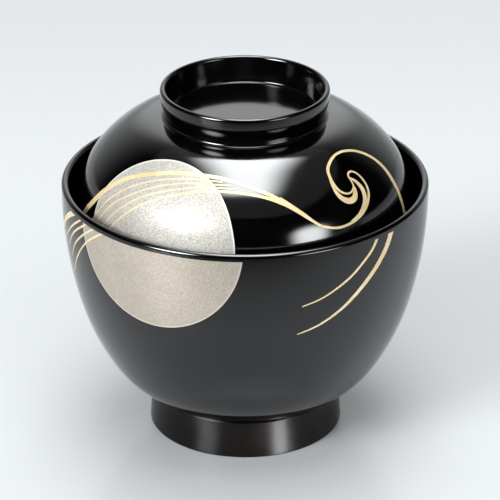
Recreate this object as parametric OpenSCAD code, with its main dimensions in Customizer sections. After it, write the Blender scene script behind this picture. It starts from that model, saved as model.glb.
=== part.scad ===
// Lidded rice bowl in black lacquer, with a silver moon and golden waves.
// Millimetres. +Z is up; the origin is the middle of the foot's resting face.
// The lid drops inside the lip of the bowl and lifts straight off.

/* [Bowl] */
// Outer radius at the lip
rim_radius = 60.5; // [59:0.5:62]
// Height of the lip above the table
bowl_height = 87.8; // [86.5:0.1:89]
// Thickness of the rounded lip
lip_t = 2.4; // [2.2:0.1:2.8]
// Thickness of the wall below the lid's seat
bowl_wall = 4.6; // [4.4:0.1:4.7]

/* [Foot] */
// Outer radius of the foot ring where it rests
foot_radius = 32.2; // [31.8:0.1:32.8]
// Inner radius of the foot ring
foot_bore = 26.8; // [25:0.1:27]

/* [Lid] */
// Thickness of the lid's shell
lid_wall = 3; // [2.6:0.1:3.2]
// Height of the flat on the crown, where the grip ring sits
crown_z = 110; // [109.8:0.1:110.2]
// Thickness of the lid's rounded edge
edge_t = 2.2; // [2:0.1:2.4]

/* [Grip ring] */
// Outer radius of the grip ring's lip
grip_radius = 27.76; // [27.5:0.02:28]
// Height of the middle of the grip ring's rounded lip
grip_z = 119.1; // [118.9:0.1:119.5]
// Thickness of the grip ring's rounded lip
grip_lip_t = 1.9; // [1.7:0.1:2.1]

/* [Decoration] */
// Thickness of the raised gold and silver
relief = 0.12; // [0.1:0.01:0.15]
// Radius of the moon on the bowl
bowl_moon_r = 29.8; // [29:0.1:30.5]
// Radius of the moon on the lid
lid_moon_r = 27.5; // [27:0.1:28]
// Height on the bowl where the decoration stops below the lip
decor_top = 85.7; // [85:0.1:86]

/* [Hidden] */
$fn = 256;

lacquer = [0.05, 0.05, 0.055];
gold = [0.82, 0.68, 0.42];
silver = [0.78, 0.75, 0.7];

// Both sections are chains of arcs, each tangent to the next. The joints lie in directions taken from
// whole-number right triangles, so that they are exact: 7-24-25, 3-4-5, 336-527-625 and 237-3116-3125.
steep = [0.96, 0.28];
slanted = [0.8, 0.6];
sloping = [0.5376, 0.8432];
nearly_level = [0.07584, 0.99712];

// Bowl section, from the lip down
rim_z = bowl_height - lip_t / 2;
lip_drop = 2.2;
side_r = 135;
belly_r = 80;
heel_r = 35;
side_end = flip(steep);
belly_end = flip([sloping.y, sloping.x]);
down = [0, -1];
side_c = [rim_radius - side_r, rim_z - lip_drop];
belly_c = side_c + (side_r - belly_r) * side_end;
heel_c = belly_c + (belly_r - heel_r) * belly_end;
floor_z = heel_c.y - heel_r;
// The inner wall flares from this height up to the lip
flare_z = 70;

// Foot section
foot_top_r = 31.5;
shoulder_r = 0.8;
shoulder_z = 12.2;
groove_r = 29.6;
edge_round = 0.4;

// Lid section, from the crown down
outward = [1, 0];
crown_start_r = 27.8;
crown_r = 25;
dome_r = 40;
turn_r = 20;
skirt_r = 60;
crown_c = [crown_start_r, crown_z] - crown_r * nearly_level;
dome_c = crown_c + (crown_r - dome_r) * sloping;
turn_c = dome_c + (dome_r - turn_r) * slanted;
skirt_c = turn_c + (turn_r - skirt_r) * steep;
lid_radius = skirt_c.x + skirt_r;
lid_edge_z = skirt_c.y;
spigot_r = 25.5;
spigot_h = 1.4;

// Grip ring section: a slightly barrelled wall that leans in towards its base
grip_side_r = 20;
grip_side_end = [0.936, -0.352];
grip_lip_c = [grip_radius - grip_lip_t / 2, grip_z];
grip_side_c = [grip_radius - grip_side_r, grip_z];
grip_waist = grip_side_c + grip_side_r * grip_side_end;
grip_root_r = 24.5;
fillet_r = 1;

// The drawings are laid flat, seen from the front at these turns and this tilt, and pressed on the surface
left_turn = -28;
far_left_turn = -55;
right_turn = 35;
tilt = 25;
reach = 150;
// Turn about the axis at which the streams hand over to the wave's crest
crest_turn = 14;
steps = 4;
// The decoration runs down the skirt as far as this direction
skirt_coat_end = [0.99712, 0.07584];

// A direction turned upside down
function flip(d) = [d.x, -d.y];

// Catmull-Rom curve through the points of a path
function path_point(p, i) = p[max(0, min(len(p) - 1, i))];
function blend_point(a, b, c, d, t) =
    0.5 * (2 * b + (c - a) * t + (2 * a - 5 * b + 4 * c - d) * t * t + (3 * b - a - 3 * c + d) * t * t * t);
function smooth_path(p) = concat(
    [for (i = [0 : len(p) - 2], k = [0 : steps - 1])
        blend_point(path_point(p, i - 1), p[i], p[i + 1], path_point(p, i + 2), k / steps)],
    [p[len(p) - 1]]);

// Half width of a stroke a share s of the way along it, from widths spaced evenly from its start to its end
function half_width(w, s) =
    let (t = s * (len(w) - 1), i = min(floor(t), len(w) - 2)) (w[i] + (w[i + 1] - w[i]) * (t - i)) / 2;
function side_step(q, i) =
    let (d = path_point(q, i + 1) - path_point(q, i - 1)) [-d.y, d.x] / norm(d);

// One brush stroke: a smooth line through the path, with its widths from start to end
module stroke(path, widths) {
    q = smooth_path(path);
    last = len(q) - 1;
    polygon(concat(
        [for (i = [0 : last]) q[i] + side_step(q, i) * half_width(widths, i / last)],
        [for (i = [last : -1 : 0]) q[i] - side_step(q, i) * half_width(widths, i / last)]));
}

// Section of a wall that follows an arc between two directions, from its surface down to a depth
module arc_section(c, r, depth, from, to) {
    far = 2 * r;
    intersection() {
        difference() {
            translate(c) circle(max(r, r - depth));
            translate(c) circle(min(r, r - depth));
        }
        polygon([c, c + far * from, c + far * (from + to) / norm(from + to), c + far * to]);
    }
}

// Half of a round edge: the half that lies above or below its flat side
module half_round(c, r, up) {
    intersection() {
        translate(c) circle(r);
        translate([c.x - r, up ? c.y : c.y - r]) square([2 * r, r]);
    }
}

module bowl_body() {
    inner = [rim_radius - lip_t, rim_z];
    flare = [side_c.x + sqrt(pow(side_r - bowl_wall, 2) - pow(side_c.y - flare_z, 2)), flare_z];
    color(lacquer) {
        rotate_extrude() half_round([rim_radius - lip_t / 2, rim_z], lip_t / 2, true);
        // the upright top of the wall, inside which the flare ends
        rotate_extrude() difference() {
            translate([flare.x, side_c.y]) square([rim_radius - flare.x, lip_drop]);
            polygon([flare, inner, [flare.x, rim_z]]);
        }
        rotate_extrude() difference() {
            arc_section(side_c, side_r, 2 * bowl_wall, outward, side_end);
            intersection() {
                translate(side_c) circle(side_r - bowl_wall);
                square([rim_radius, flare.y]);
            }
            polygon([[0, flare.y], flare, inner, [0, rim_z]]);
        }
        rotate_extrude() arc_section(belly_c, belly_r, bowl_wall, side_end, belly_end);
        rotate_extrude() arc_section(heel_c, heel_r, bowl_wall, belly_end, down);
        translate([0, 0, floor_z]) cylinder(h = bowl_wall, r = heel_c.x);
    }
}

module foot_ring() {
    color(lacquer) rotate_extrude() difference() {
        union() {
            polygon([[foot_bore + edge_round, 0], [foot_radius - edge_round, 0],
                     [foot_radius, edge_round], [foot_top_r, shoulder_z],
                     [foot_top_r - shoulder_r, shoulder_z + shoulder_r],
                     [groove_r, shoulder_z - shoulder_r / 2], [groove_r, shoulder_z + shoulder_r],
                     [foot_bore, shoulder_z + shoulder_r], [foot_bore, edge_round]]);
            translate([foot_radius - edge_round, edge_round]) circle(edge_round);
            translate([foot_bore + edge_round, edge_round]) circle(edge_round);
            translate([foot_top_r - shoulder_r, shoulder_z]) circle(shoulder_r);
        }
        translate(heel_c) circle(heel_r);
    }
}

module lid_shell() {
    color(lacquer) {
        // the flat middle, with a low spigot that the grip ring fits over
        rotate_extrude() intersection() {
            polygon([[0, crown_c.y], crown_c, crown_c + crown_r * nearly_level, [0, crown_z]]);
            translate([0, crown_z - lid_wall]) square([crown_start_r, lid_wall]);
        }
        translate([0, 0, crown_z - lid_wall / 2]) cylinder(h = spigot_h + lid_wall / 2, r = spigot_r);
        rotate_extrude() arc_section(crown_c, crown_r, lid_wall, nearly_level, sloping);
        rotate_extrude() arc_section(dome_c, dome_r, lid_wall, sloping, slanted);
        rotate_extrude() arc_section(turn_c, turn_r, lid_wall, slanted, steep);
        // the skirt thins towards its rounded edge
        rotate_extrude() intersection() {
            arc_section(skirt_c, skirt_r, 2 * lid_wall, steep, outward);
            polygon([[lid_radius - edge_t, lid_edge_z], [lid_radius, lid_edge_z],
                     skirt_c + (skirt_r + 1) * steep, skirt_c + (skirt_r - lid_wall) * steep]);
        }
        rotate_extrude() half_round([lid_radius - edge_t / 2, lid_edge_z], edge_t / 2, false);
    }
}

module lid_grip_ring() {
    floor_top = crown_z + spigot_h;
    inner_fillet_r = grip_waist.y - floor_top;
    color(lacquer) {
        rotate_extrude() half_round(grip_lip_c, grip_lip_t / 2, true);
        rotate_extrude() intersection() {
            translate(grip_side_c) circle(grip_side_r);
            polygon([[grip_radius - grip_lip_t, grip_z], [grip_root_r, grip_waist.y],
                     [grip_radius + 1, grip_waist.y], [grip_radius + 1, grip_z]]);
        }
        // the root fits over the spigot, and has a hollow fillet on each side
        rotate_extrude() difference() {
            translate([grip_root_r - inner_fillet_r, crown_z])
                square([grip_waist.x + fillet_r - grip_root_r + inner_fillet_r, grip_waist.y - crown_z]);
            translate([0, crown_z]) square([spigot_r, spigot_h]);
            translate([grip_root_r - inner_fillet_r, grip_waist.y]) circle(inner_fillet_r);
            translate([grip_waist.x, crown_z + fillet_r]) square([2 * fillet_r, 2 * fillet_r]);
            translate([grip_waist.x + fillet_r, crown_z + fillet_r]) circle(fillet_r);
        }
    }
}

// A thin coat over the outside of the bowl or of the lid
module bowl_coat() {
    rotate_extrude() translate([rim_radius, side_c.y]) square([relief, decor_top - side_c.y]);
    rotate_extrude() arc_section(side_c, side_r, -relief, outward, side_end);
}

module lid_coat() {
    rotate_extrude() arc_section(crown_c, crown_r, -relief, nearly_level, sloping);
    rotate_extrude() arc_section(dome_c, dome_r, -relief, sloping, slanted);
    rotate_extrude() arc_section(turn_c, turn_r, -relief, slanted, steep);
    rotate_extrude() arc_section(skirt_c, skirt_r, -relief, steep, skirt_coat_end);
}

// A flat drawing, turned and tilted to face the surface it goes on
module pressed(turn) {
    rotate([90 - tilt, 0, turn]) linear_extrude(reach) children();
}

// The quarter of space on either side of the turn where streams become the crest
module crest_side(side) {
    rotate([0, 0, crest_turn]) translate([side > 0 ? 0 : -reach, -reach, 0]) cube([reach, reach, reach]);
}

module bowl_left_strokes() {
    pressed(far_left_turn) {
        stroke([[-7, 54.8], [-13.6, 52.2], [-19.5, 49.3], [-23, 46.8], [-27.3, 43.5]], [2, 1.6, 0.4]);
        stroke([[-4.5, 53.4], [-8.1, 51.4], [-12.8, 48.8], [-17, 46.1], [-20.3, 43.7]], [0.7, 0.6, 0.3]);
        stroke([[-1, 53.4], [-4.8, 51], [-9.9, 48.1], [-14.3, 45.1], [-18.1, 41.3]], [0.7, 0.6, 0.3]);
        stroke([[4, 53.8], [0.5, 51.5], [-4.6, 48.3], [-9.3, 45.1], [-13.1, 42], [-16.4, 38]],
               [0.7, 0.6, 0.3]);
        stroke([[8.5, 53.8], [4.8, 51.4], [0.3, 48.6], [-4.5, 45.1], [-11.8, 38.5], [-16.7, 33]],
               [0.7, 0.6, 0.3]);
    }
}

module bowl_right_strokes() {
    pressed(right_turn) {
        stroke([[16.8, 55.5], [16, 53], [14, 49], [10.4, 44.5], [5.8, 40.2], [0.5, 36.1], [-4.5, 33],
                [-11.5, 30.2], [-18.3, 29.1]], [2.3, 1.5, 0.3]);
        stroke([[10.2, 54.5], [9.2, 52.2], [7, 49.2], [2.9, 45.8], [-1.3, 42.9], [-6.5, 40.4],
                [-12, 38.6], [-17.8, 37.8]], [1, 0.8, 0.3]);
    }
}

module lid_stream_strokes() {
    pressed(left_turn) {
        stroke([[-42, 54], [-38.5, 58.5], [-33.5, 62.8], [-27.5, 68], [-22, 71.8], [-15.5, 74.5],
                [-8.5, 76.5], [-1.5, 78], [6, 78.8], [12.5, 79], [20, 78.4], [28, 77], [35, 74.7]],
               [2.2, 1.2, 1]);
        stroke([[-35, 54], [-31, 59], [-26.5, 63.8], [-21, 68.2], [-15.5, 71.4], [-9, 74.1],
                [-1, 76.2], [6, 77.3], [13, 78]], [0.6, 0.5, 0.4]);
        stroke([[-33.5, 52], [-29.5, 57.3], [-23, 63.8], [-16, 68.2], [-8, 72.2], [0, 74.8],
                [6.5, 76.1], [16, 77.4]], [0.6, 0.5, 0.4]);
        stroke([[-30.5, 51], [-26.2, 56.6], [-20, 62.4], [-13.7, 67], [-7.3, 70.2], [-1, 72.6],
                [6.8, 74.9], [18, 76.7]], [0.6, 0.5, 0.4]);
        stroke([[-27.5, 50], [-22.7, 56], [-17, 61.4], [-11.3, 65.6], [-5, 69], [1, 71.5],
                [7.3, 73.7], [13.5, 75], [22, 75.9], [28.5, 75.8], [35, 74.4]], [0.6, 0.6, 1]);
    }
}

module lid_crest_strokes() {
    pressed(right_turn) {
        // the line that runs in from the streams and curls round the crest to its tip
        stroke([[-20.4, 76.1], [-17.6, 72.9], [-14.6, 69.5], [-11.4, 65.7], [-9.3, 63.3], [-7, 61.2],
                [-4.2, 59.9], [-1.3, 59.1], [2, 59], [5.5, 59.6], [8.8, 60.8], [11.6, 62.6],
                [13.5, 64.7], [14.7, 66.7], [15.1, 68.7], [14.8, 70.8], [13.9, 72.9], [12.6, 74.3],
                [11.1, 74.9], [9.8, 74.4], [9.4, 73.3]],
               [3, 1.6, 0.8, 0.7, 0.8, 1, 0.9, 0.7, 0.6, 0.6, 0.5]);
        // from the tip round the hollow, and down the long back of the wave to the lid's edge
        stroke([[9.4, 73.3], [9.7, 71.8], [9.7, 70.4], [8.6, 69.1], [6.9, 68.5], [5.1, 68.9],
                [3.5, 70.2], [2.6, 72.4], [2.5, 75], [3.2, 77.4], [5.5, 79.4], [8.8, 81],
                [12.6, 81.5], [16.7, 80.9], [20.2, 79.4], [23.4, 77.2], [25.9, 74.4], [27.7, 71.1],
                [28.9, 67.3], [30.2, 63.8], [31.4, 60.4], [32.3, 57], [33.4, 53]],
               [0.5, 0.5, 0.6, 0.9, 1, 0.7, 0.8, 1.1, 1.5, 1.5, 1.4]);
        // the thick body inside the curl
        stroke([[9.5, 73.2], [11.2, 71.6], [12.5, 69.3], [12.7, 67], [11.9, 64.6], [10, 62.4],
                [7.4, 60.8], [4.4, 59.8]], [0.4, 1.1, 1.5, 1.5, 1.4, 0.9, 0.4]);
        // the drop that hangs under the hollow
        stroke([[2.1, 74.8], [1.8, 72.4], [2.2, 69.7], [3.5, 67.5], [5.7, 66.2], [8, 66.5],
                [9.3, 68.2], [9.8, 70.2]], [0.3, 0.6, 1.3, 1.9, 2, 1.7, 0.5]);
    }
}

module bowl_moon() {
    color(silver) difference() {
        intersection() {
            bowl_coat();
            pressed(left_turn) translate([-2, 58.2]) circle(bowl_moon_r);
        }
        bowl_left_strokes();
    }
}

module bowl_left_ripples() {
    color(gold) intersection() {
        bowl_coat();
        bowl_left_strokes();
    }
}

module bowl_right_ripples() {
    color(gold) intersection() {
        bowl_coat();
        bowl_right_strokes();
    }
}

module lid_moon() {
    color(silver) difference() {
        intersection() {
            lid_coat();
            pressed(left_turn) translate([-4.8, 54]) circle(lid_moon_r);
        }
        lid_stream_strokes();
    }
}

module lid_stream_lines() {
    color(gold) intersection() {
        lid_coat();
        crest_side(-1);
        lid_stream_strokes();
    }
}

module lid_wave_crest() {
    color(gold) intersection() {
        lid_coat();
        crest_side(1);
        lid_crest_strokes();
    }
}

bowl_body();
foot_ring();
bowl_moon();
bowl_left_ripples();
bowl_right_ripples();
lid_shell();
lid_grip_ring();
lid_moon();
lid_stream_lines();
lid_wave_crest();
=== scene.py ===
"""Looks of a lidded black lacquer bowl with a silver moon and golden waves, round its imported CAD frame.
Metres, in the row's frame: +Z up, the front is -Y."""

import math

import bmesh
import bpy
from mathutils import Matrix, Vector


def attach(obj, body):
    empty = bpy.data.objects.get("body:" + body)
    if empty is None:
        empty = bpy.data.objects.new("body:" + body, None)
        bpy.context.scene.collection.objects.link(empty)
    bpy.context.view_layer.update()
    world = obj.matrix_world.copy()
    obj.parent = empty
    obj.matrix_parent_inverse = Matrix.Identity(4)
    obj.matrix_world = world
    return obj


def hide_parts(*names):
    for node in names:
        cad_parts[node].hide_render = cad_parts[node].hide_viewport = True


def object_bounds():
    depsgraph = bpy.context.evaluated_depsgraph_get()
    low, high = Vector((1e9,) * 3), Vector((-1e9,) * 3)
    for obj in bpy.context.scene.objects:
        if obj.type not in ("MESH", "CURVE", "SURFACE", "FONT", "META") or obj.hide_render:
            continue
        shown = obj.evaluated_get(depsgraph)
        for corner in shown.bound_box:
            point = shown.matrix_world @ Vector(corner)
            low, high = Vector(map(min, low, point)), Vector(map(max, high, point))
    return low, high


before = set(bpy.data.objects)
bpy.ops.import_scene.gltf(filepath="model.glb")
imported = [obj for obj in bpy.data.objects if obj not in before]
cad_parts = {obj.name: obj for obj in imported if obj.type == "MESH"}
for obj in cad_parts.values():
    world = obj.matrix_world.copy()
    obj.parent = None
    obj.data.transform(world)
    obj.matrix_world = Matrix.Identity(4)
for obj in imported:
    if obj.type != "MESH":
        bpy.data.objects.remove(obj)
cad_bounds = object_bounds()

MM = 0.001

# Camera: a long lens in front of the bowl, looking down on it
CAMERA_BACK = 1.02205
CAMERA_HEIGHT = 0.54898
CAMERA_PITCH = 25.518
CAMERA_YAW = -0.089
CAMERA_ROLL = -0.069
CAMERA_LENS = 244.92
SENSOR = 36

# The drawing of the moons faces this turn about the axis, and leans back by this tilt
LEFT_TURN = -28
TILT = 25
# Each moon as it is drawn: across, up, and its radius
BOWL_MOON = (-2 * MM, 58.2 * MM, 29.8 * MM)
LID_MOON = (-4.8 * MM, 54 * MM, 27.5 * MM)
# Width of the burnished line round a moon
MOON_EDGE = 0.35 * MM
# Flakes of metal powder to the metre, in the gold and in the finer silver
GRAIN = 2600
MOON_GRAIN = 6000
# Specks of dust and paper fibres to the metre
DUST = 2600
TOOTH = 1500
# Heights of the bumps: the lacquer's waves, the powder's flakes and the paper's tooth
WAVE_HEIGHT = 0.08 * MM
FLAKE_HEIGHT = 0.04 * MM
TOOTH_HEIGHT = 0.05 * MM


# ---------------------------------------------------------------- nodes
class Nodes:
    """Short names for making and joining shader nodes."""

    def __init__(self, owner):
        owner.use_nodes = True
        self.tree = owner.node_tree
        self.tree.nodes.clear()

    def add(self, kind, **settings):
        node = self.tree.nodes.new(kind)
        for name, value in settings.items():
            setattr(node, name, value)
        return node

    def join(self, value, socket):
        if isinstance(value, bpy.types.NodeSocket):
            self.tree.links.new(value, socket)
        else:
            socket.default_value = value

    def math(self, operation, *values, clamp=False):
        node = self.add("ShaderNodeMath", operation=operation, use_clamp=clamp)
        for value, socket in zip(values, node.inputs):
            self.join(value, socket)
        return node.outputs[0]

    def vector(self, operation, *values):
        node = self.add("ShaderNodeVectorMath", operation=operation)
        for value, socket in zip(values, node.inputs):
            self.join(value, socket)
        return node.outputs["Value" if operation in ("DOT_PRODUCT", "LENGTH", "DISTANCE") else "Vector"]

    def step(self, value, low, high, to_low=0.0, to_high=1.0):
        """A smooth step of value from low to high."""
        node = self.add("ShaderNodeMapRange", interpolation_type="SMOOTHSTEP")
        for number, socket in zip((value, low, high, to_low, to_high), node.inputs):
            self.join(number, socket)
        return node.outputs[0]

    def span(self, value, low, high, to_low, to_high):
        """Value moved in a straight line from one range to another, and kept inside it."""
        node = self.add("ShaderNodeMapRange")
        for number, socket in zip((value, low, high, to_low, to_high), node.inputs):
            self.join(number, socket)
        return node.outputs[0]

    def mix(self, factor, a, b):
        node = self.add("ShaderNodeMix", data_type="RGBA")
        self.join(factor, node.inputs[0])
        self.join(a, node.inputs[6])
        self.join(b, node.inputs[7])
        return node.outputs[2]

    def noise(self, where, scale, detail=2.0, roughness=0.5):
        node = self.add("ShaderNodeTexNoise")
        self.join(where, node.inputs["Vector"])
        node.inputs["Scale"].default_value = scale
        node.inputs["Detail"].default_value = detail
        node.inputs["Roughness"].default_value = roughness
        return node.outputs[0]

    def cells(self, where, scale):
        """The colour of each cell of a fine Voronoi pattern, as three random numbers."""
        node = self.add("ShaderNodeTexVoronoi")
        self.join(where, node.inputs["Vector"])
        node.inputs["Scale"].default_value = scale
        split = self.add("ShaderNodeSeparateColor")
        self.join(node.outputs["Color"], split.inputs[0])
        return split.outputs[0], split.outputs[1], split.outputs[2]

    def bump(self, height, strength, distance, under=None):
        node = self.add("ShaderNodeBump")
        node.inputs["Strength"].default_value = strength
        node.inputs["Distance"].default_value = distance
        self.join(height, node.inputs["Height"])
        if under is not None:
            self.join(under, node.inputs["Normal"])
        return node.outputs[0]


def colour(r, g, b):
    return (r, g, b, 1.0)


def shader(nodes, sockets):
    """A principled surface with these sockets set or joined."""
    surface = nodes.add("ShaderNodeBsdfPrincipled")
    for name, value in sockets.items():
        nodes.join(value, surface.inputs[name])
    out = nodes.add("ShaderNodeOutputMaterial")
    nodes.join(surface.outputs[0], out.inputs[0])
    return surface


# ---------------------------------------------------------------- materials
def lacquer(name, rough, tone, shine):
    """Black lacquer: polished, with the faint waviness, dust and brown depth of many rubbed coats."""
    material = bpy.data.materials.new(name)
    nodes = Nodes(material)
    where = nodes.add("ShaderNodeTexCoord").outputs["Object"]
    depth = nodes.noise(where, 90, 3)
    waves = nodes.noise(where, 55, 2)
    dust = nodes.noise(where, DUST, 2)
    warm = colour(tone[0] * 2.2, tone[1] * 1.6, tone[2] * 1.3)
    base = nodes.mix(nodes.span(depth, 0.35, 0.7, 0, 1), colour(*tone), warm)
    rubbed = nodes.span(depth, 0.3, 0.7, rough * 0.8, rough * 1.15)
    gloss = nodes.math("ADD", rubbed, nodes.span(dust, 0.5, 0.75, 0, rough * 0.3))
    shader(nodes, {
        "Base Color": base, "Roughness": gloss, "Normal": nodes.bump(waves, 0.1, WAVE_HEIGHT),
        "Specular IOR Level": shine,
    })
    return material


def moon_edge(nodes, where, moon):
    """How far a point is into the burnished line round a moon, from 0 to 1."""
    turn, lean = math.radians(LEFT_TURN), math.radians(90 - TILT)
    across = (math.cos(turn), math.sin(turn), 0)
    rising = (-math.sin(turn) * math.cos(lean), math.cos(turn) * math.cos(lean), math.sin(lean))
    middle_x, middle_y, radius = moon
    u = nodes.math("SUBTRACT", nodes.vector("DOT_PRODUCT", where, across), middle_x)
    v = nodes.math("SUBTRACT", nodes.vector("DOT_PRODUCT", where, rising), middle_y)
    squares = nodes.math("ADD", nodes.math("MULTIPLY", u, u), nodes.math("MULTIPLY", v, v))
    return nodes.step(nodes.math("SQRT", squares), radius - MOON_EDGE * 1.6, radius - MOON_EDGE * 0.7)


def powder(name, pale, deep, rough, metallic, sparkle, grain=GRAIN, moon=None, line=None):
    """Metal powder sprinkled on lacquer: every cell is a flake that catches the light its own way."""
    material = bpy.data.materials.new(name)
    nodes = Nodes(material)
    where = nodes.add("ShaderNodeTexCoord").outputs["Object"]
    one, two, three = nodes.cells(where, grain)
    coarse = nodes.noise(where, 160, 3)
    fine = nodes.noise(where, grain * 0.6, 2)
    tint = nodes.mix(nodes.span(coarse, 0.32, 0.68, 0, 1), colour(*pale), colour(*deep))
    base = nodes.vector("SCALE", tint)
    nodes.join(nodes.span(one, 0, 1, 1 - sparkle, 1 + sparkle * 0.6), base.node.inputs["Scale"])
    gloss = nodes.span(two, 0, 1, rough * 0.8, rough * 1.2)
    if moon is not None:
        base = nodes.mix(moon_edge(nodes, where, moon), base, colour(*line))
    height = nodes.math("ADD", nodes.math("MULTIPLY", three, 0.8), fine)
    shader(nodes, {
        "Base Color": base, "Metallic": metallic, "Roughness": gloss,
        "Normal": nodes.bump(height, 0.5, FLAKE_HEIGHT),
    })
    return material


BLACK = (0.0003, 0.0003, 0.00035)
FOOT_BLACK = (0.0012, 0.0009, 0.0009)
MATERIALS = {
    "bowl_body": lacquer("polished_lacquer_bowl", rough=0.09, tone=BLACK, shine=0.6),
    "lid_shell": lacquer("polished_lacquer_lid", rough=0.1, tone=BLACK, shine=0.85),
    "lid_grip_ring": lacquer("polished_lacquer_ring", rough=0.09, tone=BLACK, shine=0.55),
    "foot_ring": lacquer("rubbed_lacquer_foot", rough=0.22, tone=FOOT_BLACK, shine=0.2),
    "bowl_moon": powder(
        "silver_powder_bowl", pale=(0.47, 0.42, 0.36), deep=(0.45, 0.395, 0.33), rough=0.4, metallic=0.8,
        sparkle=0.3, grain=MOON_GRAIN, moon=BOWL_MOON, line=(0.58, 0.53, 0.46)),
    # The lid's moon is the same silver as the bowl's, painted darker and less metallic as painted shade,
    # because it faces the overhead light
    "lid_moon": powder(
        "silver_powder_lid_painted_darker", pale=(0.265, 0.255, 0.232), deep=(0.25, 0.236, 0.21), rough=0.41, metallic=0.34,
        sparkle=0.6, grain=MOON_GRAIN, moon=LID_MOON, line=(0.38, 0.37, 0.34)),
}
# One gold powder in two copies: the bowl's, on the steep wall that gets little light, is painted brighter, and
# the lid's, which faces the overhead light, is painted darker and less metallic
BOWL_GOLD_PAINTED_BRIGHTER = powder(
    "gold_powder_bowl_painted_brighter", pale=(0.98, 0.84, 0.56), deep=(0.92, 0.73, 0.42), rough=0.45, metallic=0.9,
    sparkle=0.14)
LID_GOLD_PAINTED_DARKER = powder(
    "gold_powder_lid_painted_darker", pale=(0.48, 0.395, 0.235), deep=(0.42, 0.32, 0.165), rough=0.42, metallic=0.45,
    sparkle=0.14)
for name in ("bowl_left_ripples", "bowl_right_ripples"):
    MATERIALS[name] = BOWL_GOLD_PAINTED_BRIGHTER
for name in ("lid_stream_lines", "lid_wave_crest"):
    MATERIALS[name] = LID_GOLD_PAINTED_DARKER


def set_material(thing, material):
    """Puts one material on all of an object's slots."""
    if not thing.material_slots:
        thing.data.materials.append(material)
    for held in thing.material_slots:
        held.material = material


for name, material in MATERIALS.items():
    set_material(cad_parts[name], material)


# ---------------------------------------------------------------- turned pieces
# Points of a section closer than this, in millimetres, are one point, or lie on the axis
CLOSE = 0.001
# Edges that turn by more than this many degrees are sharp
SHARP = 12


def arc(centre, radius, start, end, count=24):
    """Points of a section along an arc, in millimetres, between two directions in degrees."""
    turns = [math.radians(start + (end - start) * i / count) for i in range(count + 1)]
    return [(centre[0] + radius * math.cos(t), centre[1] + radius * math.sin(t)) for t in turns]


def line(start, end, count=12):
    """Points of a section along a straight line."""
    return [(start[0] + (end[0] - start[0]) * i / count, start[1] + (end[1] - start[1]) * i / count)
            for i in range(count + 1)]


def circle_of_points(mesh, radius, z, sides):
    """A level circle of vertices about the axis, in metres."""
    turns = [2 * math.pi * i / sides for i in range(sides)]
    return [mesh.verts.new((radius * math.cos(t), radius * math.sin(t), z)) for t in turns]


def join_rows(mesh, low, high, sides):
    """Faces between two circles of vertices, either of which may be a single point on the axis."""
    for i in range(sides):
        j = (i + 1) % sides
        face = [low[0]] if len(low) == 1 else [low[i], low[j]]
        face += [high[0]] if len(high) == 1 else [high[j], high[i]]
        mesh.faces.new(face)


def finish_mesh(name, mesh):
    """An object in the scene that holds this mesh."""
    data = bpy.data.meshes.new(name)
    mesh.to_mesh(data)
    mesh.free()
    made = bpy.data.objects.new(name, data)
    bpy.context.scene.collection.objects.link(made)
    return made


def turned(name, section, closed, body, node, sides=288):
    """A section turned about the bowl's axis, standing for a CAD node of the same shape."""
    points = []
    for point in section:
        if not points or math.dist(point, points[-1]) > CLOSE:
            points.append(point)
    mesh = bmesh.new()
    rows = []
    for r, z in points:
        if r < CLOSE:
            rows.append([mesh.verts.new((0, 0, z * MM))])
        else:
            rows.append(circle_of_points(mesh, r * MM, z * MM, sides))
    pairs = list(zip(rows, rows[1:]))
    if closed:
        pairs.append((rows[-1], rows[0]))
    for low, high in pairs:
        join_rows(mesh, low, high, sides)
    bmesh.ops.recalc_face_normals(mesh, faces=mesh.faces)
    made = finish_mesh(name, mesh)
    made.data.shade_smooth()
    made.data.set_sharp_from_angle(angle=math.radians(SHARP))
    set_material(made, MATERIALS[node])
    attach(made, body)
    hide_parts(node)
    return made


# Directions in which the arcs of the sections meet, in degrees
STEEP = math.degrees(math.atan2(0.28, 0.96))
SLANTED = math.degrees(math.atan2(0.6, 0.8))
SLOPING = math.degrees(math.atan2(0.8432, 0.5376))
NEARLY_LEVEL = math.degrees(math.atan2(0.99712, 0.07584))
BELLY_END = math.degrees(math.atan2(-0.5376, 0.8432))
# Radius at which the flat middles stop short of the axis
MIDDLE_R = 1

# Bowl section, in millimetres: centres and radii of its arcs, from the lip down
LIP, LIP_R = (59.3, 86.6), 1.2
SIDE, SIDE_R = (-74.5, 84.4), 135
BELLY, BELLY_R = (-21.7, 69), 80
HEEL, HEEL_R = (16.244, 44.808), 35
WALL = 4.6
# The inner wall flares from this height up to the lip
FLARE_Z = 70
flare_start = math.degrees(math.asin((FLARE_Z - SIDE[1]) / (SIDE_R - WALL)))
flare_x = SIDE[0] + (SIDE_R - WALL) * math.cos(math.radians(flare_start))
under_z = HEEL[1] - HEEL_R
inside_z = under_z + WALL
bowl_section = (
    [(0, under_z)]
    + line((MIDDLE_R, under_z), (HEEL[0], under_z))
    + arc(HEEL, HEEL_R, -90, BELLY_END)
    + arc(BELLY, BELLY_R, BELLY_END, -STEEP)
    + arc(SIDE, SIDE_R, -STEEP, 0, 40)
    + arc(LIP, LIP_R, 0, 180)
    + line((LIP[0] - LIP_R, LIP[1]), (flare_x, FLARE_Z))
    + arc(SIDE, SIDE_R - WALL, flare_start, -STEEP)
    + arc(BELLY, BELLY_R - WALL, -STEEP, BELLY_END)
    + arc(HEEL, HEEL_R - WALL, BELLY_END, -90)
    + line((HEEL[0], inside_z), (MIDDLE_R, inside_z))
    + [(0, inside_z)]
)
turned("turned_bowl_body", bowl_section, False, "bowl", "bowl_body")

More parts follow.
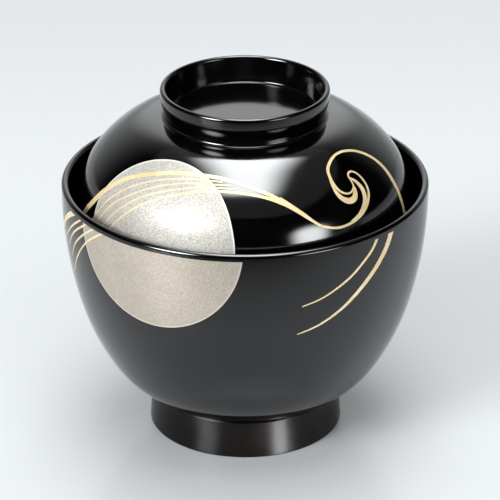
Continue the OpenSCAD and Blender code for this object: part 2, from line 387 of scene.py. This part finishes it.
# Foot section
FOOT_BORE = 26.8
FOOT_RADIUS = 32.2
FOOT_TOP_R = 31.5
FOOT_ROUND = 0.4
SHOULDER_R = 0.8
SHOULDER_Z = 12.2
bore_round = FOOT_BORE + FOOT_ROUND
outer_round = FOOT_RADIUS - FOOT_ROUND
shoulder_x = FOOT_TOP_R - SHOULDER_R
foot_top = SHOULDER_Z + SHOULDER_R
foot_section = (
    line((FOOT_BORE, foot_top), (FOOT_BORE, FOOT_ROUND))
    + arc((bore_round, FOOT_ROUND), FOOT_ROUND, 180, 270, 8)
    + line((bore_round, 0), (outer_round, 0), 4)
    + arc((outer_round, FOOT_ROUND), FOOT_ROUND, 270, 360, 8)
    + line((FOOT_RADIUS, FOOT_ROUND), (FOOT_TOP_R, SHOULDER_Z))
    + arc((shoulder_x, SHOULDER_Z), SHOULDER_R, 0, 90, 12)
    + line((shoulder_x, foot_top), (FOOT_BORE, foot_top), 4)[:-1]
)
foot_piece = turned("turned_foot_ring", foot_section, True, "bowl", "foot_ring")

# Lid section: centres and radii of its arcs, from the edge up
EDGE, EDGE_R = (54.34, 73.224), 1.1
SKIRT, SKIRT_R = (-4.56, 73.224), 60
TURN, TURN_R = (33.84, 84.424), 20
DOME, DOME_R = (17.84, 72.424), 40
CROWN, CROWN_R = (25.904, 85.072), 25
LID_WALL = 3
CROWN_TOP = 110
CROWN_START_R = 27.8
# Where the inside of the lid turns from its flat middle into the dome, and where its skirt starts to thin
INNER_CROWN_R = 27.572
SKIRT_TOP = (50.16, 89.184)
SPIGOT_TOP = 111.4
SPIGOT_R = 25.5
lid_ceiling = CROWN_TOP - LID_WALL
lid_section = (
    [(0, SPIGOT_TOP)]
    + line((MIDDLE_R, SPIGOT_TOP), (SPIGOT_R, SPIGOT_TOP))
    + line((SPIGOT_R, SPIGOT_TOP), (SPIGOT_R, CROWN_TOP), 2)
    + line((SPIGOT_R, CROWN_TOP), (CROWN_START_R, CROWN_TOP), 2)
    + arc(CROWN, CROWN_R, NEARLY_LEVEL, SLOPING)
    + arc(DOME, DOME_R, SLOPING, SLANTED)
    + arc(TURN, TURN_R, SLANTED, STEEP)
    + arc(SKIRT, SKIRT_R, STEEP, 0)
    + arc(EDGE, EDGE_R, 0, -180)
    + line((EDGE[0] - EDGE_R, EDGE[1]), SKIRT_TOP)
    + arc(TURN, TURN_R - LID_WALL, STEEP, SLANTED)
    + arc(DOME, DOME_R - LID_WALL, SLANTED, SLOPING)
    + arc(CROWN, CROWN_R - LID_WALL, SLOPING, NEARLY_LEVEL)
    + line((INNER_CROWN_R, lid_ceiling), (MIDDLE_R, lid_ceiling))
    + [(0, lid_ceiling)]
)
turned("turned_lid_shell", lid_section, False, "lid", "lid_shell")

# Grip ring section: a rounded lip, a slightly barrelled side, and a hollow fillet on each side of its root
RING_LIP, RING_LIP_R = (26.81, 119.1), 0.95
RING_SIDE, RING_SIDE_R = (7.76, 119.1), 20
RING_ROOT_R = 24.5
WAIST_R, WAIST_Z = 26.48, 112.06
WAIST = math.degrees(math.atan2(-0.352, 0.936))
FILLET_R = 1
inner_fillet_r = WAIST_Z - SPIGOT_TOP
inner_fillet_x = RING_ROOT_R - inner_fillet_r
fillet_x = WAIST_R + FILLET_R
fillet_z = CROWN_TOP + FILLET_R
ring_section = (
    arc(RING_LIP, RING_LIP_R, 0, 180)
    + line((RING_LIP[0] - RING_LIP_R, RING_LIP[1]), (RING_ROOT_R, WAIST_Z))
    + arc((inner_fillet_x, WAIST_Z), inner_fillet_r, 0, -90, 10)
    + line((inner_fillet_x, SPIGOT_TOP), (SPIGOT_R, SPIGOT_TOP), 2)
    + line((SPIGOT_R, SPIGOT_TOP), (SPIGOT_R, CROWN_TOP), 2)
    + line((SPIGOT_R, CROWN_TOP), (fillet_x, CROWN_TOP), 2)
    + arc((fillet_x, fillet_z), FILLET_R, -90, -180, 10)
    + line((WAIST_R, fillet_z), (WAIST_R, WAIST_Z), 2)
    + arc(RING_SIDE, RING_SIDE_R, WAIST, 0)[:-1]
)
turned("turned_grip_ring", ring_section, True, "lid", "lid_grip_ring")


# ---------------------------------------------------------------- floor
def disc(name, radius, rings, sides, z):
    """A flat disc of rings of faces, which grow wider away from the middle."""
    mesh = bmesh.new()
    rows = [[mesh.verts.new((0, 0, z))]]
    for ring in range(1, rings + 1):
        rows.append(circle_of_points(mesh, radius * (ring / rings) ** 2, z, sides))
    for inner, outer in zip(rows, rows[1:]):
        join_rows(mesh, outer, inner, sides)
    return finish_mesh(name, mesh)


FLOOR_RADIUS = 30
# Behind the bowl the paper's colour is darkened between these distances, to this share: painted shade standing
# for the light falling away
PAINTED_SHADE_FROM = 0.1
PAINTED_SHADE_TO = 0.45
PAINTED_SHADE_SHARE = 0.78
floor_z = cad_bounds[0].z
floor = disc("studio_floor", FLOOR_RADIUS, 24, 96, floor_z)
paper = bpy.data.materials.new("studio_paper")
nodes = Nodes(paper)
where = nodes.add("ShaderNodeTexCoord").outputs["Object"]
mottle = nodes.noise(where, 3, 3)
tooth = nodes.noise(where, TOOTH, 2)
split = nodes.add("ShaderNodeSeparateXYZ")
nodes.join(where, split.inputs[0])
# the paper's colour, with painted shade behind the bowl
fade = nodes.vector("SCALE", nodes.mix(mottle, colour(0.238, 0.244, 0.252), colour(0.252, 0.256, 0.262)))
nodes.join(nodes.step(split.outputs["Y"], PAINTED_SHADE_FROM, PAINTED_SHADE_TO, 1.0, PAINTED_SHADE_SHARE), fade.node.inputs["Scale"])
shader(nodes, {
    "Base Color": fade, "Roughness": 0.2, "Specular IOR Level": 0.2,
    "Normal": nodes.bump(tooth, 0.05, TOOTH_HEIGHT),
})
set_material(floor, paper)

# Painted shade in reflections: a sheet that only reflections see, standing for the dark room in front of the
# table, which grows darker away from the bowl
DARK_RADIUS = 3
DARK_FROM = 0.075
DARK_TO = 0.36
DARK_ABOVE_FLOOR = 0.5 * MM
dark = disc("painted_shade_sheet_front", DARK_RADIUS, 12, 48, floor_z + DARK_ABOVE_FLOOR)
black = bpy.data.materials.new("painted_shade_sheet")
nodes = Nodes(black)
split = nodes.add("ShaderNodeSeparateXYZ")
nodes.join(nodes.add("ShaderNodeTexCoord").outputs["Object"], split.inputs[0])
near = nodes.math("MULTIPLY", split.outputs["Y"], -1.0)
blend = nodes.add("ShaderNodeMixShader")
nodes.join(nodes.step(near, DARK_FROM, DARK_TO), blend.inputs[0])
nodes.join(nodes.add("ShaderNodeBsdfTransparent").outputs[0], blend.inputs[1])
unlit = nodes.add("ShaderNodeEmission")
unlit.inputs["Strength"].default_value = 0.0
nodes.join(unlit.outputs[0], blend.inputs[2])
nodes.join(blend.outputs[0], nodes.add("ShaderNodeOutputMaterial").inputs[0])
set_material(dark, black)
for kind in ("camera", "diffuse", "shadow", "transmission", "volume_scatter"):
    setattr(dark, "visible_" + kind, False)


# ---------------------------------------------------------------- light
def heading(azimuth, elevation):
    """Direction from the bowl: azimuth 0 is the front, 90 the right."""
    a, e = math.radians(azimuth), math.radians(elevation)
    return (math.sin(a) * math.cos(e), -math.cos(a) * math.cos(e), math.sin(e))


world = bpy.data.worlds.new("studio")
bpy.context.scene.world = world
nodes = Nodes(world)
look = nodes.add("ShaderNodeTexCoord").outputs["Generated"]
parts = nodes.add("ShaderNodeSeparateXYZ")
nodes.join(look, parts.inputs[0])
x, y, z = parts.outputs
# Keeps the softbox's shares finite towards the horizon
LEAST_RISE = 0.02
rise = nodes.math("MAXIMUM", z, LEAST_RISE)


def softbox(x0, x1, y0, y1, soft_x, soft_y, level):
    """An overhead diffuser, by where it lies on a ceiling one unit up, with soft edges."""
    u, v = nodes.math("DIVIDE", x, rise), nodes.math("DIVIDE", y, rise)
    side_a = nodes.step(u, x0 - soft_x, x0 + soft_x)
    side_b = nodes.step(u, x1 - soft_x, x1 + soft_x, 1, 0)
    side_c = nodes.step(v, y0 - soft_y, y0 + soft_y)
    side_d = nodes.step(v, y1 - soft_y, y1 + soft_y, 1, 0)
    across = nodes.math("MULTIPLY", side_a, side_b)
    along = nodes.math("MULTIPLY", side_c, side_d)
    return nodes.math("MULTIPLY", nodes.math("MULTIPLY", across, along), level)


def lamp(azimuth, elevation, halo, level):
    """A round soft lamp, brightest in its middle, which fades out at the halo angle."""
    turn = nodes.vector("DOT_PRODUCT", look, heading(azimuth, elevation))
    fade = nodes.step(turn, math.cos(math.radians(halo)), 1.0)
    return nodes.math("MULTIPLY", nodes.math("MULTIPLY", fade, fade), level)


ROOM_LEVEL = 0.6
CEILING_LEVEL = 0.16
# the room behind is pale, the room in front is dark, and the ceiling is dim
room = nodes.step(y, 0.45, 1.0, 0.0, ROOM_LEVEL)
ceiling = nodes.math("MULTIPLY", nodes.step(z, 0.71, 0.73), CEILING_LEVEL)
lights = [
    room,
    ceiling,
    softbox(x0=-0.22, x1=0.26, y0=-0.36, y1=0.58, soft_x=0.16, soft_y=0.06, level=14.0),
    lamp(azimuth=-47, elevation=27, halo=19, level=50.0),
    lamp(azimuth=45, elevation=5, halo=19, level=12.0),
    lamp(azimuth=180, elevation=24, halo=30, level=1.0),
]
total = lights[0]
for light in lights[1:]:
    total = nodes.math("ADD", total, light)
# matt things get less of the lamps, and also the light scattered by the walls and by a white screen in
# front, which lifts their shadows
LAMP_SHARE = 0.6
WALL_LEVEL = 0.5
SCREEN_LEVEL = 3.2
matt = nodes.add("ShaderNodeLightPath").outputs["Is Diffuse Ray"]
screen = nodes.step(nodes.math("MULTIPLY", y, -1.0), 0.2, 0.7, 0.0, SCREEN_LEVEL)
fill = nodes.math("MULTIPLY", matt, nodes.math("ADD", screen, WALL_LEVEL))
total = nodes.math("ADD", nodes.math("MULTIPLY", total, nodes.span(matt, 0, 1, 1.0, LAMP_SHARE)), fill)
# Shares of red, green and blue in the slightly cool light
COOL = (0.965, 0.99, 1.0)
glow = nodes.add("ShaderNodeBackground")
tinted = nodes.add("ShaderNodeCombineColor")
for share, socket in zip(COOL, tinted.inputs):
    nodes.join(nodes.math("MULTIPLY", total, share), socket)
nodes.join(tinted.outputs[0], glow.inputs[0])
# past the edge of the floor the camera sees a plain pale backdrop
backdrop = nodes.add("ShaderNodeBackground")
backdrop.inputs[0].default_value = colour(0.70, 0.73, 0.75)
seen = nodes.add("ShaderNodeMixShader")
nodes.join(nodes.add("ShaderNodeLightPath").outputs["Is Camera Ray"], seen.inputs[0])
nodes.join(glow.outputs[0], seen.inputs[1])
nodes.join(backdrop.outputs[0], seen.inputs[2])
nodes.join(seen.outputs[0], nodes.add("ShaderNodeOutputWorld").inputs[0])

# Two tall strips of light that only the foot sees, one on each side of the camera
STRIP_AWAY = 0.4
STRIP_BELOW = -18
STRIP_SIZE = (0.04, 0.2)
STRIPS = (("foot_strip_left", -44, 0.3), ("foot_strip_right", 40, 2.3))
foot_only = bpy.data.collections.new("foot_only")
foot_only.objects.link(foot_piece)
for name, azimuth, power in STRIPS:
    strip = bpy.data.lights.new(name, "AREA")
    strip.shape = "RECTANGLE"
    strip.size, strip.size_y = STRIP_SIZE
    strip.energy = power
    lit = bpy.data.objects.new(name, strip)
    where = Vector(heading(azimuth, STRIP_BELOW)) * STRIP_AWAY
    lit.location = where
    lit.rotation_euler = where.to_track_quat("Z", "Y").to_euler()
    lit.visible_camera = False
    lit.light_linking.receiver_collection = foot_only
    lit.light_linking.blocker_collection = foot_only
    bpy.context.scene.collection.objects.link(lit)

world.cycles.sampling_method = "MANUAL"
world.cycles.sample_map_resolution = 1024

bpy.context.scene.view_settings.view_transform = "Standard"

# ---------------------------------------------------------------- camera
camera = bpy.data.objects.new("camera", bpy.data.cameras.new("camera"))
camera.data.sensor_width = SENSOR
camera.data.lens = CAMERA_LENS
camera.data.clip_start = 0.05
camera.data.clip_end = 100
camera.matrix_world = (
    Matrix.Translation((0, -CAMERA_BACK, CAMERA_HEIGHT))
    @ Matrix.Rotation(math.radians(CAMERA_YAW), 4, "Z")
    @ Matrix.Rotation(math.radians(90 - CAMERA_PITCH), 4, "X")
    @ Matrix.Rotation(math.radians(CAMERA_ROLL), 4, "Z")
)
bpy.context.scene.collection.objects.link(camera)
bpy.context.scene.camera = camera
